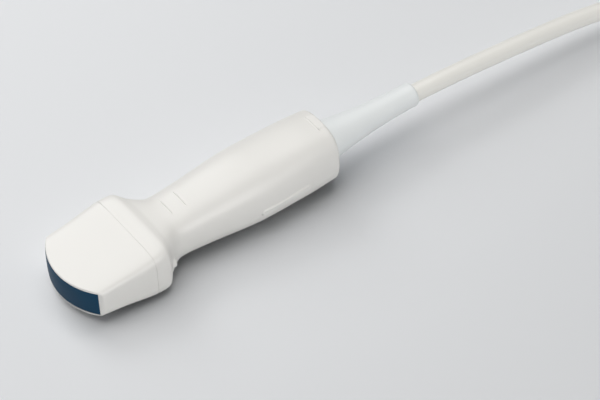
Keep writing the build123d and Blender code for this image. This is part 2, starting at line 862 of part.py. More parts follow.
with BuildPart() as contacts:
    with BuildSketch(connector_frame.offset(recess_depth)):
        with Locations((-contact_field_offset, 0), (contact_field_offset, 0)):
            with GridLocations(contact_pitch, contact_pitch, contact_columns, contact_rows):
                Rectangle(contact_length, contact_width)
    extrude(amount=-contact_height)
finish(contacts, "contacts")

with BuildPart() as connector_board:
    with BuildSketch(connector_frame.offset(contact_top)):
        Rectangle(connector_board_length, connector_board_width)
        Circle(shaft_hole + lock_clearance, mode=Mode.SUBTRACT)
    extrude(amount=connector_board_thickness)
finish(connector_board, "connector_board")

knob_low = connector_height + lock_clearance
knob_high = knob_low + knob_base_height + knob_grip_height
shaft_top = knob_low + knob_seat_depth
shaft_low = lock_bar_lift + lock_bar_height
clip_low = cover_ceiling - lock_clearance - lock_clip_thickness
groove_radius = lock_shaft_radius - lock_groove_depth
screw_seat = knob_high - case_screw_sink
screw_tip = screw_seat - lock_screw_length
with BuildPart() as lock_shaft:
    with BuildSketch(connector_frame.offset(lock_bar_lift)):
        SlotOverall(lock_bar_length, lock_bar_width)
    extrude(amount=lock_bar_height)
    with BuildSketch(connector_frame.offset(shaft_low)):
        Circle(lock_shaft_radius)
    extrude(amount=shaft_top - shaft_low)
    with BuildSketch(connector_frame.offset(clip_low - fit_clearance)):
        Circle(lock_shaft_radius)
        Circle(groove_radius, mode=Mode.SUBTRACT)
    extrude(amount=lock_clip_thickness + 2 * fit_clearance, mode=Mode.SUBTRACT)
    with BuildSketch(connector_frame.offset(screw_tip)):
        Circle(lock_screw_radius + fit_clearance)
    extrude(amount=shaft_top - screw_tip, mode=Mode.SUBTRACT)
finish(lock_shaft, "lock_shaft")

with BuildPart() as lock_clip:
    with BuildSketch(connector_frame.offset(clip_low)):
        Circle(lock_clip_radius)
        Circle(groove_radius + fit_clearance, mode=Mode.SUBTRACT)
        with Locations((lock_clip_radius, 0)):
            Rectangle(2 * lock_clip_radius, lock_clip_gap, mode=Mode.SUBTRACT)
    extrude(amount=lock_clip_thickness)
finish(lock_clip, "lock_clip")

with BuildPart() as lock_knob:
    with BuildSketch(connector_frame.offset(knob_low)):
        Circle(knob_radius)
    extrude(amount=knob_base_height)
    with BuildSketch(connector_frame.offset(knob_low)):
        SlotOverall(knob_grip_length, knob_grip_width)
    extrude(amount=knob_high - knob_low)
    fillet(lock_knob.faces().sort_by(Axis.Z)[-1].edges(), knob_round)
    with BuildSketch(connector_frame.offset(knob_low)):
        Circle(lock_shaft_radius + fit_clearance)
    extrude(amount=knob_seat_depth, mode=Mode.SUBTRACT)
    with BuildSketch(connector_frame.offset(knob_low)):
        Circle(lock_screw_radius + assembly_clearance)
    extrude(amount=knob_high - knob_low, mode=Mode.SUBTRACT)
    with BuildSketch(connector_frame.offset(screw_seat)):
        Circle(lock_screw_head_radius + assembly_clearance)
    extrude(amount=case_screw_sink, mode=Mode.SUBTRACT)
finish(lock_knob, "lock_knob")

with BuildPart() as lock_screw:
    with BuildSketch(connector_frame.offset(screw_tip)):
        Circle(lock_screw_radius)
    extrude(amount=lock_screw_length)
    with BuildSketch(connector_frame.offset(screw_seat)):
        Circle(lock_screw_head_radius)
    extrude(amount=lock_screw_head_height)
finish(lock_screw, "lock_screw")

case_screw_seat = recess_depth + case_screw_sink
case_screw_tip = cover_ceiling - case_screw_sink
with BuildPart() as connector_screws:
    with BuildSketch(connector_frame.offset(case_screw_seat)):
        with GridLocations(boss_along, boss_across, 2, 2):
            Circle(case_screw_radius)
    extrude(amount=case_screw_tip - case_screw_seat)
    with BuildSketch(connector_frame.offset(case_screw_seat)):
        with GridLocations(boss_along, boss_across, 2, 2):
            Circle(case_screw_head_radius)
    extrude(amount=-case_screw_head_height)
finish(connector_screws, "connector_screws")

entry_axis = Axis(entry_side.origin, (1, 0, 0))
entry_flange_start = connector_wall + fit_clearance
entry_flange_end = entry_flange_start + connector_boot_flange_length
with BuildPart() as connector_boot:
    with BuildSketch(entry_side):
        with BuildLine():
            Polyline(
                (-connector_boot_length, boot_bore),
                (-connector_boot_length, connector_boot_end_radius),
                (-fit_clearance, connector_boot_base_radius),
                (-fit_clearance, connector_boot_neck_radius),
                (entry_flange_start, connector_boot_neck_radius),
                (entry_flange_start, connector_boot_flange_radius),
                (entry_flange_end, connector_boot_flange_radius),
                (entry_flange_end, boot_bore),
                close=True,
            )
        make_face()
    revolve(axis=entry_axis)
finish(connector_boot, "connector_boot")

clamp_block_height = connector_split + connector_clamp_cap - base_floor
with BuildPart() as connector_clamp:
    with BuildSketch(entry_plane.offset(entry_flange_end + fit_clearance)):
        with Locations((0, base_floor - connector_split + clamp_block_height / 2)):
            Rectangle(connector_clamp_width, clamp_block_height)
        Circle(boot_bore, mode=Mode.SUBTRACT)
    extrude(amount=connector_clamp_length)
finish(connector_clamp, "connector_clamp")
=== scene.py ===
# %% [markdown]
# # Ultrasound transducer probe
# A hand-held convex probe lies on a pale table: a wide head with a dark curved lens, a waisted
# handle, a flared boot and a light cable. The CAD model gives every piece its size and place.
# This lesson loads it as a fixed frame, and then makes the surfaces that the eye meets.

# %% Load the frame
import math

import bmesh
import bpy
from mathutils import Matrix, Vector


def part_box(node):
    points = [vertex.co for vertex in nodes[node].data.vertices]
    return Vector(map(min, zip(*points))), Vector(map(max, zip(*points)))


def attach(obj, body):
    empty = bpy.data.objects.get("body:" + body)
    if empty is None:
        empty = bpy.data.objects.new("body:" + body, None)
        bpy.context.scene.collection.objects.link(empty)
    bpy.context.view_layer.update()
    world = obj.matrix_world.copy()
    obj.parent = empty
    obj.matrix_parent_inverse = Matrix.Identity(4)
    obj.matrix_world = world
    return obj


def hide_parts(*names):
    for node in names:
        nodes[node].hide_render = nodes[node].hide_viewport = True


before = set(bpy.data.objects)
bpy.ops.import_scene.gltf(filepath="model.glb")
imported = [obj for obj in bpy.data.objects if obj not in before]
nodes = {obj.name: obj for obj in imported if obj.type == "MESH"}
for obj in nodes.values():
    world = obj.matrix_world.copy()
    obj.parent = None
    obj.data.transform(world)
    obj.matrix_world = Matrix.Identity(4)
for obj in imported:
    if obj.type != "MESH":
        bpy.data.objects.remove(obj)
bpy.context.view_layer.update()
scene = bpy.context.scene
scene.view_settings.view_transform = "Standard"
MM = 0.001

# %% [markdown]
# ## The probe's own directions
# The probe rests on its shoulder and its grip, so its long axis tilts a little. Every piece of it
# is drawn in the probe's own terms, in millimetres: a place along the axis, counted from the front
# of the lens, a distance across and a height. One function turns them into the shared frame, in
# metres. The sizes repeat the CAD model's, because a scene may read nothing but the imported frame.

# %% Places along the probe
LENS_RADIUS, LENS_WIDTH, LENS_HEIGHT = 29.6, 37.4, 11.7
FRONT, SEAM, SHOULDER = -1.0, 32.5, 38.6
NECK, GRIP, TAIL = 50.0, 92.0, 127.2
SHOULDER_HEIGHT, GRIP_HEIGHT = 24.3, 29.2
BOOT_END, BOOT_TIP_RADIUS = 174.0, 5.2
TILT = math.atan2((GRIP_HEIGHT - SHOULDER_HEIGHT) / 2, GRIP - SHOULDER)
NOSE_Z = SHOULDER_HEIGHT / 2 * math.cos(TILT) - SHOULDER * math.sin(TILT)
NOSE_X = -(
    BOOT_END * math.cos(TILT)
    + BOOT_TIP_RADIUS * math.sin(TILT)
    - LENS_HEIGHT / 2 * math.sin(TILT)
) / 2
AXIS = Vector((math.cos(TILT), 0, math.sin(TILT)))
RISE = Vector((-math.sin(TILT), 0, math.cos(TILT)))


def on_probe(place, across, height):
    """Return the frame's point, in metres, for a place, a distance across and a height."""
    point = Vector((NOSE_X, across, NOSE_Z)) + AXIS * place + RISE * height
    return point * MM


def stops(start, *spans):
    """Return values from a start through spans of (end, step), each span evenly divided."""
    values = []
    for end, step in spans:
        count = max(1, round(abs(end - start) / step))
        values += [start + (end - start) * number / count for number in range(count)]
        start = end
    return values + [start]


def ease(low, high, value):
    """Return 0 below low and 1 above high, smooth between them."""
    share = min(1, max(0, (value - low) / (high - low)))
    return share * share * (3 - 2 * share)


print("tilt", round(math.degrees(TILT), 3), "degrees, nose at", round(NOSE_X, 2), round(NOSE_Z, 2))

# %% [markdown]
# ## Camera
# The view was fitted to the outline of the probe: how far round, how high, how far away and how
# long a lens. A long lens keeps the far end of the handle nearly as large as the near end. The
# camera is moved sideways rather than turned, so that its sight line keeps the fitted direction.

# %% Camera
TURN, LIFT, DISTANCE = math.radians(-35.87), math.radians(44.55), 1.150
AIM_PLACE, SHIFT_RIGHT, SHIFT_DOWN = 77, 0.03206, 0.00103
FOCAL_LENGTH, SENSOR_WIDTH, FARTHEST = 172.5, 36, 20
back = Vector(
    (math.sin(TURN) * math.cos(LIFT), -math.cos(TURN) * math.cos(LIFT), math.sin(LIFT))
)
right = Vector((math.cos(TURN), math.sin(TURN), 0))
upward = back.cross(right)
target = on_probe(AIM_PLACE, 0, 0)
camera = bpy.data.objects.new("camera", bpy.data.cameras.new("camera"))
scene.collection.objects.link(camera)
camera.data.sensor_width = SENSOR_WIDTH
camera.data.lens = FOCAL_LENGTH
camera.data.clip_end = FARTHEST
camera.location = target + back * DISTANCE + right * SHIFT_RIGHT - upward * SHIFT_DOWN
camera.rotation_euler = back.to_track_quat("Z", "Y").to_euler()
scene.camera = camera
print("camera at", [round(value, 4) for value in camera.location])

# %% [markdown]
# ## Colours and nodes
# Colours are given as sRGB hex values, while shaders work in linear light, so one function
# translates them. Another adds any shader node with its settings, values and links in one line.
# Four more make what nearly every material here has: a noise, and the tint, the shine and the fine
# relief that follow it. The Mix node has a set of sockets with the same names for each kind of
# data, so its colour sockets are taken by their numbers.

# %% Colour and node helpers
MIX_SHARE, MIX_DARK, MIX_LIGHT, MIX_RESULT = 0, 6, 7, 2


def colour(code):
    """Return the linear RGBA of an sRGB hex value."""
    channels = [int(code[i : i + 2], 16) / 255 for i in (1, 3, 5)]
    linear = [c / 12.92 if c <= 0.04045 else ((c + 0.055) / 1.055) ** 2.4 for c in channels]
    return (*linear, 1)


def add(tree, kind, settings=None, values=None, links=None):
    """Add a node: set its properties, the values of its inputs, and the links into it."""
    made = tree.nodes.new(kind)
    for name, value in (settings or {}).items():
        setattr(made, name, value)
    for name, value in (values or {}).items():
        made.inputs[name].default_value = value
    for name, source in (links or {}).items():
        tree.links.new(source, made.inputs[name])
    return made


def start_material(name, coordinates="Object"):
    """Return a new material, its tree, its Principled shader and one kind of coordinates."""
    material = bpy.data.materials.new(name)
    material.use_nodes = True
    tree = material.node_tree
    place = add(tree, "ShaderNodeTexCoord").outputs[coordinates]
    return material, tree, tree.nodes["Principled BSDF"], place


def per_metre(millimetres):
    """Return the texture scale whose features are about so many millimetres apart."""
    return 1 / (millimetres * MM)


def noise(tree, place, scale, detail):
    """Return the value of a noise texture."""
    values = {"Scale": scale, "Detail": detail}
    return add(tree, "ShaderNodeTexNoise", values=values, links={"Vector": place}).outputs["Fac"]


def tint(tree, shader, dark, light, share):
    """Colour a shader from dark to light, as a share tells."""
    mix = add(
        tree,
        "ShaderNodeMix",
        {"data_type": "RGBA"},
        {MIX_DARK: colour(dark), MIX_LIGHT: colour(light)},
        {MIX_SHARE: share},
    )
    tree.links.new(mix.outputs[MIX_RESULT], shader.inputs["Base Color"])


def shine(tree, shader, low, high, share):
    """Spread a shader's roughness from low to high, as a share tells."""
    values = {"To Min": low, "To Max": high}
    spread = add(tree, "ShaderNodeMapRange", values=values, links={"Value": share})
    tree.links.new(spread.outputs["Result"], shader.inputs["Roughness"])


def relief(tree, shader, strength, depth, height):
    """Give a shader's surface fine relief, with its depth in millimetres."""
    values = {"Strength": strength, "Distance": depth * MM}
    bump = add(tree, "ShaderNodeBump", values=values, links={"Height": height})
    tree.links.new(bump.outputs["Normal"], shader.inputs["Normal"])


print("half-way grey in linear light:", round(colour("#808080")[0], 3))

# %% [markdown]
# ## Housing plastic
# The head and the handle are moulded in a white ABS blend. The mould is spark-eroded, so the skin
# has a very fine satin grain and no gloss coat. The grain's real pitch is about 0.1 mm, which is
# too fine to show here, so it is drawn at 0.5 mm and kept shallow. A slow change of tone, a few
# centimetres wide, keeps the large faces from looking like paper.

# %% White ABS
white_abs, tree, shader, place = start_material("white_abs")
tint(tree, shader, "#D9D8D5", "#DEDDDA", noise(tree, place, per_metre(40), 2.0))
grain = noise(tree, place, per_metre(0.5), 3.0)
shine(tree, shader, 0.36, 0.46, grain)
relief(tree, shader, 0.06, 0.04, grain)
shader.inputs["IOR"].default_value = 1.52
print("made", white_abs.name)

# %% [markdown]
# ## Lens silicone
# The lens is cast silicone rubber, a dark slate blue. It is matt beside the housing, with a soft
# sheen along the curve, and its surface carries a faint haze from wiping.

# %% Lens silicone
lens_silicone, tree, shader, place = start_material("lens_silicone")
haze = noise(tree, place, per_metre(6), 4.0)
tint(tree, shader, "#113A53", "#15425E", haze)
shine(tree, shader, 0.42, 0.56, haze)
relief(tree, shader, 0.05, 0.04, noise(tree, place, per_metre(0.8), 2.0))
shader.inputs["IOR"].default_value = 1.43
shader.inputs["Specular IOR Level"].default_value = 0.15
print("made", lens_silicone.name)

# %% [markdown]
# ## Boot rubber and cable jacket
# The boot is a soft thermoplastic rubber in a cooler white than the housing. The jacket is PVC,
# extruded, so it has long faint die lines and a brighter streak where the light runs along it.
# The die lines follow the cable, so they use the curve's own UV map.

# %% Boot rubber
boot_rubber, tree, shader, place = start_material("boot_rubber")
tint(tree, shader, "#DADEDF", "#E0E3E4", noise(tree, place, per_metre(12), 3.0))
relief(tree, shader, 0.08, 0.05, noise(tree, place, per_metre(0.6), 2.0))
shader.inputs["Roughness"].default_value = 0.45
print("made", boot_rubber.name)

# %% Cable jacket
DIE_STRETCH = (3.0, 40.0, 1.0)
cable_pvc, tree, shader, along = start_material("cable_pvc", "UV")
stretched = add(tree, "ShaderNodeMapping", values={"Scale": DIE_STRETCH}, links={"Vector": along})
die_lines = noise(tree, stretched.outputs["Vector"], 1.0, 3.0)
tint(tree, shader, "#E0DFDA", "#E5E4E0", die_lines)
relief(tree, shader, 0.08, 0.06, die_lines)
shader.inputs["Roughness"].default_value = 0.28
shader.inputs["Specular IOR Level"].default_value = 0.65
print("made", cable_pvc.name)

# %% [markdown]
# ## Cable
# The cable leaves the boot in line with the probe, sinks to the table, and is put away in a tied
# hank of four stacked turns. It is one smooth NURBS curve. Its free stretches use the CAD route's
# own points. Each half turn of the hank has six points on a polygon round the bend, whose sides
# the curve touches at their middles, so the bend keeps its radius. Along the far strand and the
# bend nearest the probe each turn climbs to the next layer, all in step, so that no turn meets
# another.

# %% Cable route
CABLE = 7.8
HANK_LIFT, HANK_TURNS, HANK_STEP = 1.2, 4, 30
LAYERS = [HANK_LIFT + CABLE * (number + 0.5) for number in range(HANK_TURNS + 1)]
HANK_BEND, HANK_MIDDLE = 3 * CABLE, 6.0
HANK_NEAR, HANK_FAR = 270.0, 370.0
NEAR_STRAND = HANK_MIDDLE - HANK_BEND
CLIMB_START, CLIMB_END = 9, 15
IN_BOOT, PAST_BOOT = 148, 176
SINKING = [(137, 0.2, 16.6), (196, 0.5, 11.4)]
INTO_HANK = [(40, 6.9, 2.3), (20, 1.2, 0.4), (8, 0, 0)]
OUT_OF_HANK, TOP_LIFT = (HANK_NEAR + 32, HANK_FAR + 34), 0.1
ENTRY, ENTRY_LEAD, ENTRY_DEPTH = Vector((482.0, -4.0, 20.7)), 40, 8


def bend_spots(middle, start):
    """Return half a turn's points round a middle, from a start angle in degrees."""
    reach = HANK_BEND / math.cos(math.radians(HANK_STEP / 2))
    count = 180 // HANK_STEP
    angles = [math.radians(start + HANK_STEP * (number + 0.5)) for number in range(count)]
    return [(middle + reach * math.cos(angle), reach * math.sin(angle)) for angle in angles]


def hank_turn(number):
    """Return one turn's points: out along the near strand, round, back and round again."""
    corner = HANK_BEND * math.tan(math.radians(HANK_STEP / 2))
    spots = [(HANK_FAR - corner, -HANK_BEND), *bend_spots(HANK_FAR, -90)]
    for along in (HANK_FAR - corner, (HANK_NEAR + HANK_FAR) / 2, HANK_NEAR + corner):
        spots.append((along, HANK_BEND))
    spots += [*bend_spots(HANK_NEAR, 90), (HANK_NEAR + corner, -HANK_BEND)]
    points = []
    for station, (along, across) in enumerate(spots):
        climb = CABLE * ease(CLIMB_START, CLIMB_END, station)
        points.append((along, HANK_MIDDLE + across, LAYERS[number] + climb))
    return points


route = [tuple(on_probe(place, 0, 0) / MM) for place in (IN_BOOT, PAST_BOOT)]
route += SINKING
for along, aside, lift in INTO_HANK:
    route.append((HANK_NEAR - along, NEAR_STRAND + aside, LAYERS[0] + lift))
for number in range(HANK_TURNS):
    route += hank_turn(number)
route += [(along, NEAR_STRAND, LAYERS[-1] + TOP_LIFT) for along in OUT_OF_HANK]
route += [(ENTRY.x + along, ENTRY.y, ENTRY.z) for along in (-ENTRY_LEAD, ENTRY_DEPTH)]
print("cable route of", len(route), "points")

# %% Cable curve
line = bpy.data.curves.new("cable_lead", "CURVE")
line.dimensions = "3D"
spline = line.splines.new("NURBS")
spline.points.add(len(route) - 1)
for point, spot in zip(spline.points, route):
    point.co = (*(value * MM for value in spot), 1)
spline.order_u = 3
spline.use_endpoint_u = True
spline.resolution_u = 10
line.bevel_depth = CABLE / 2 * MM
line.bevel_resolution = 6
line.use_fill_caps = True
line.materials.append(cable_pvc)
cable_lead = bpy.data.objects.new("cable_lead", line)
scene.collection.objects.link(cable_lead)
bare = line.copy()
bare.bevel_depth = 0
bare_object = bpy.data.objects.new("bare_line", bare)
scene.collection.objects.link(bare_object)
bpy.context.view_layer.update()
traced = bpy.data.meshes.new_from_object(
    bare_object.evaluated_get(bpy.context.evaluated_depsgraph_get())
)
bpy.data.objects.remove(bare_object)

# %% [markdown]
# ## Outer form
# The housing's skin is one form. At any place along it the cross-section is an oval of a given
# width, height and fullness, drawn by four Bezier quarters: a fullness of 0.55 is an ellipse, and
# about 1.1 is nearly a rectangle. Between the named sections the three measures ease smoothly.


# %% Form of the housing
def blend_section(first, second, shares):
    """Return a section between two others, with its own share of the way for each measure."""
    return tuple(a + (b - a) * share for a, b, share in zip(first, second, shares))


# A section is its place, width, height and fullness
front = (FRONT, 39.2, 12.6, 1.1)
seam = (SEAM, 43.6, 22.4, 1.04)
shoulder = (SHOULDER, 42.6, SHOULDER_HEIGHT, 0.99)
neck = (NECK, 27.0, 21.8, 0.71)
grip = (GRIP, 32.6, GRIP_HEIGHT, 0.64)
tail = (TAIL, 27.4, 27.6, 0.76)
SECTIONS = [
    front,
    blend_section(front, seam, (0.57, 0.5, 0.48, 0.4)),
    seam,
    shoulder,
    blend_section(shoulder, neck, (0.375, 0.53, 0.68, 0.4)),
    neck,
    blend_section(neck, grip, (0.29, 0.25, 0.3, 0.85)),
    grip,
    blend_section(grip, tail, (0.59, 0.43, 0.05, 0.5)),
    tail,
]


def form_slope(index, column):
    """Return how fast a measure changes at a named section, without overshooting it."""
    steps = [
        (second[column] - first[column]) / (second[0] - first[0])
        for first, second in zip(SECTIONS[:-1], SECTIONS[1:])
    ]
    if index in (0, len(steps)):
        return steps[0] if index == 0 else steps[-1]
    before, after = steps[index - 1], steps[index]
    return 2 * before * after / (before + after) if before * after > 0 else 0


SLOPES = [[form_slope(index, column) for column in (1, 2, 3)] for index in range(len(SECTIONS))]


def form_at(place):
    """Return the form's width, height and fullness at a place."""
    index = 0
    while index < len(SECTIONS) - 2 and SECTIONS[index + 1][0] < place:
        index += 1
    first, second = SECTIONS[index], SECTIONS[index + 1]
    span = second[0] - first[0]
    share = (place - first[0]) / span
    measures = []
    for column in (1, 2, 3):
        value = first[column] * (1 + 2 * share) * (1 - share) ** 2
        value += second[column] * share**2 * (3 - 2 * share)
        value += SLOPES[index][column - 1] * span * share * (1 - share) ** 2
        value += SLOPES[index + 1][column - 1] * span * share**2 * (share - 1)
        measures.append(value)
    return measures


def oval(place, turn, wall=0.0):
    """Return across and height on the form's oval, with turn from 0 at +Y round to 4."""
    width, height, fullness = form_at(place)
    half_width, half_height = width / 2 - wall, height / 2 - wall
    quarter = min(3, int(turn))
    share = turn - quarter
    if quarter % 2:
        share = 1 - share
    side = 1 if quarter in (0, 3) else -1
    rise = 1 if quarter < 2 else -1
    rest = 1 - share
    across = rest**3 + 3 * rest**2 * share + 3 * fullness * rest * share**2
    height_share = 3 * fullness * rest**2 * share + 3 * rest * share**2 + share**3
    return side * across * half_width, rise * height_share * half_height


print("grip section:", [round(value, 2) for value in form_at(GRIP)])

# %% [markdown]
# ## Skin from rows of loops
# Each shell is built as a wall. For one turn round the probe, a closed loop of points runs along
# the outside, over the end, and back along the inside. Neighbouring loops are joined by quads, and
# where the shell ends at the parting plane the last loop is closed by a face. Edges sharper than
# about thirty degrees stay crisp, and everything else is shaded smooth.


# %% Mesh helpers
WELD = 1e-7


def skin(name, loops, around, material):
    """Return a solid made of closed loops side by side, joined all round or capped at its ends."""
    count = len(loops[0])
    mesh = bpy.data.meshes.new(name)
    vertices = [point for loop in loops for point in loop]
    faces = []
    for row in range(len(loops) if around else len(loops) - 1):
        near, far = row * count, ((row + 1) % len(loops)) * count
        for step in range(count):
            after = (step + 1) % count
            faces.append((near + step, near + after, far + after, far + step))
    if not around:
        last = (len(loops) - 1) * count
        faces.append(tuple(reversed(range(count))))
        faces.append(tuple(range(last, last + count)))
    mesh.from_pydata(vertices, [], faces)
    return finish_mesh(name, mesh, material)


def shade(mesh, crisp):
    """Shade a mesh smooth, with edges that turn by more than an angle kept crisp."""
    mesh.shade_smooth()
    mesh.set_sharp_from_angle(angle=math.radians(crisp))


def finish_mesh(name, mesh, material, crisp=30):
    """Turn a mesh's faces outwards, shade it, and put it in the scene at the origin."""
    work = bmesh.new()
    work.from_mesh(mesh)
    bmesh.ops.remove_doubles(work, verts=work.verts, dist=WELD)
    bmesh.ops.recalc_face_normals(work, faces=work.faces)
    work.to_mesh(mesh)
    work.free()
    shade(mesh, crisp)
    mesh.materials.clear()
    mesh.materials.append(material)
    piece = bpy.data.objects.new(name, mesh)
    scene.collection.objects.link(piece)
    print(name, "has", len(mesh.polygons), "faces")
    return piece


# %% [markdown]
# ## Nose cover
# The head's front is bent round the lens, so each line along the head stops where it meets that
# cylinder. From there the loop turns over a small rounded edge, crosses the thin rim to the lens
# window, goes back through the window, and returns inside the wall to the seam. The seam is a
# narrow groove: the cover steps in just before it meets the handle.

# %% Nose cover
LENS_HALF_WIDTH, LENS_HALF_HEIGHT, LENS_PROUD = LENS_WIDTH / 2, LENS_HEIGHT / 2, 0.3
WINDOW_GAP, WINDOW_END, WALL = 0.06, 13.6, 2.0
GROOVE_START, GROOVE_DEPTH = SEAM - 0.16, 0.14
NOSE_ROUND, RIM_SHARE = 0.5, 0.6
NOSE_ROWS, NOSE_TURNS, ROUND_STEPS = 56, 224, 5
CUT_TRIES, TINY = 8, 1e-9
FACE_RADIUS = LENS_RADIUS - LENS_PROUD


def front_of(across):
    """Return the place of the head's bent front face at a distance across."""
    return LENS_RADIUS - math.sqrt(FACE_RADIUS**2 - across**2)


def window_edge(across, height):
    """Return the point of the lens window in the same direction from the middle."""
    wide, tall = LENS_HALF_WIDTH + WINDOW_GAP, LENS_HALF_HEIGHT + WINDOW_GAP
    scale = min(wide / max(TINY, abs(across)), tall / max(TINY, abs(height)))
    return across * scale, height * scale


def nose_loop(turn):
    """Return the closed loop of the nose cover's wall at one turn."""
    # The front is bent, so each try finds the cut from where the last one put it
    cut = 0.0
    for _ in range(CUT_TRIES):
        cut = front_of(oval(cut, turn)[0])
    corner_across, corner_height = oval(cut, turn)
    loop = []
    for row in range(NOSE_ROWS + 1):
        place = GROOVE_START + (cut + NOSE_ROUND - GROOVE_START) * row / NOSE_ROWS
        loop.append(on_probe(place, *oval(place, turn)))
    edge_across, edge_height = window_edge(corner_across, corner_height)
    rim_across = corner_across + (edge_across - corner_across) * RIM_SHARE
    rim_height = corner_height + (edge_height - corner_height) * RIM_SHARE
    behind = on_probe(cut + NOSE_ROUND, *oval(cut + NOSE_ROUND, turn))
    corner = on_probe(cut, corner_across, corner_height)
    rim = on_probe(front_of(rim_across), rim_across, rim_height)
    for step in range(1, ROUND_STEPS + 1):
        share = step / ROUND_STEPS
        loop.append(behind * (1 - share) ** 2 + corner * 2 * share * (1 - share) + rim * share**2)
    for place in (front_of(edge_across), WINDOW_END):
        loop.append(on_probe(place, edge_across, edge_height))
    for place in stops(WINDOW_END + 0.1, (SEAM, 1.8)):
        loop.append(on_probe(place, *oval(place, turn, WALL)))
    for place in (SEAM, GROOVE_START):
        loop.append(on_probe(place, *oval(place, turn, GROOVE_DEPTH)))
    return loop


nose_loops = [nose_loop(4 * number / NOSE_TURNS) for number in range(NOSE_TURNS)]
nose_head = skin("nose_head", nose_loops, True, white_abs)
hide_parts("nose_cover")
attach(nose_head, "probe")

# %% [markdown]
# ## Handle shells
# Behind the seam the form falls from the wide shoulder to the neck and swells to the grip. Two
# shells meet at mid-height. The upper one has two short thumb lines on the neck and a flat cut at
# the tail, with a fine bead before the cut and a small pit at its corner. The lower one has a
# raised bar on each side and, on one side only, the orientation mark that tells the user which way
# the image runs. They are part of the moulding, so they are made by moving the skin, with rows of
# points close together where an edge has to be crisp. Each pair of numbers named as an edge says
# how far out the change starts and how far out it ends.

# %% Marks in the skin
TAIL_WALL, TAIL_ROUND, TAIL_STEPS, BOOT_HOLE = 3.5, 1.6, 8, 8.05
THUMB_LINES, THUMB_DEPTH = (51.725, 58.225), 0.3
THUMB_EDGE, THUMB_END_EDGE = (0.08, 0.3), (4.2, 4.7)
NOTCH_PLACE, NOTCH_STEP, NOTCH_EDGE = TAIL - 4.0, 0.06, (3.6, 4.6)
NOTCH_FLOOR = form_at(NOTCH_PLACE)[1] / 2 - 0.6
BEAD_PLACE, BEAD_RISE, BEAD_EDGE = NOTCH_PLACE - 0.42, 0.22, (0, 0.4)
PIT_PLACE, PIT_ACROSS, PIT_DEPTH, PIT_EDGE = NOTCH_PLACE + 0.35, -4.6, 0.6, (0.25, 0.65)
BAR_START, BAR_END, BAR_DROP, BAR_HALF = 86.0, 111.0, 2.4, 1.8
BAR_FRONT = form_at(BAR_START)[0] / 2 + 0.65
BAR_REAR = form_at(BAR_END)[0] / 2 + 0.45
BAR_RISE, BAR_EDGE = 0.55, (-0.75, 0.12)
MARK_PLACE, MARK_DROP, MARK_HALF, MARK_TALL = 43.6, 2.3, 1.3, 4.2
MARK_REACH, MARK_EDGE = form_at(MARK_PLACE)[0] / 2 + 0.7, (-0.7, 0.2)


def slot_distance(along, across, length, half):
    """Return how far a point is outside a slot as long as length, negative inside."""
    beyond = max(0, abs(along) - (length / 2 - half))
    return math.hypot(beyond, across) - half


def upper_skin(place, turn, inset=0.0):
    """Return across and height of the upper shell's outside, thumb lines and tail cut included."""
    across, height = oval(place, turn, inset)
    for line_place in THUMB_LINES:
        groove = 1 - ease(*THUMB_EDGE, abs(place - line_place))
        height -= THUMB_DEPTH * groove * (1 - ease(*THUMB_END_EDGE, abs(across)))
    within = 1 - ease(*NOTCH_EDGE, abs(across))
    cut = ease(NOTCH_PLACE - NOTCH_STEP, NOTCH_PLACE + NOTCH_STEP, place) * within
    height += (min(height, NOTCH_FLOOR) - height) * cut
    height += BEAD_RISE * within * (1 - ease(*BEAD_EDGE, abs(place - BEAD_PLACE)))
    pit = math.hypot(place - PIT_PLACE, across - PIT_ACROSS)
    return across, height - PIT_DEPTH * (1 - ease(*PIT_EDGE, pit))


def lower_skin(place, turn, inset=0.0):
    """Return across and height of the lower shell's outside, side bars and mark included."""
    across, height = oval(place, turn, inset)
    side = 1 if across > 0 else -1
    reach = abs(across)
    middle = (BAR_START + BAR_END) / 2
    outside = slot_distance(place - middle, height + BAR_DROP, BAR_END - BAR_START, BAR_HALF)
    face = BAR_FRONT + (BAR_REAR - BAR_FRONT) * (place - BAR_START) / (BAR_END - BAR_START)
    reach += max(BAR_RISE, face - reach) * (1 - ease(*BAR_EDGE, outside))
    if side < 0:
        outside = slot_distance(height + MARK_DROP, place - MARK_PLACE, MARK_TALL, MARK_HALF)
        reach += max(0, MARK_REACH - reach) * (1 - ease(*MARK_EDGE, outside))
    return side * reach, height


print("tail cut at", round(NOTCH_PLACE, 1), "and side bars from", BAR_START, "to", BAR_END)


# %% Handle shells
def shell_loop(turn, places, outside):
    """Return the closed loop of a handle shell's wall at one turn."""
    loop = [on_probe(place, *outside(place, turn)) for place in places]
    for step in range(1, TAIL_STEPS + 1):
        angle = math.pi / 2 * step / TAIL_STEPS
        place = TAIL - TAIL_ROUND * (1 - math.sin(angle))
        loop.append(on_probe(place, *outside(place, turn, TAIL_ROUND * (1 - math.cos(angle)))))
    across, height = outside(TAIL, turn, TAIL_ROUND)
    scale = BOOT_HOLE / math.hypot(across, height)
    for place in (TAIL, TAIL - TAIL_WALL):
        loop.append(on_probe(place, across * scale, height * scale))
    for place in stops(TAIL - TAIL_WALL, (SEAM, 2.0)):
        loop.append(on_probe(place, *oval(place, turn, WALL)))
    return loop


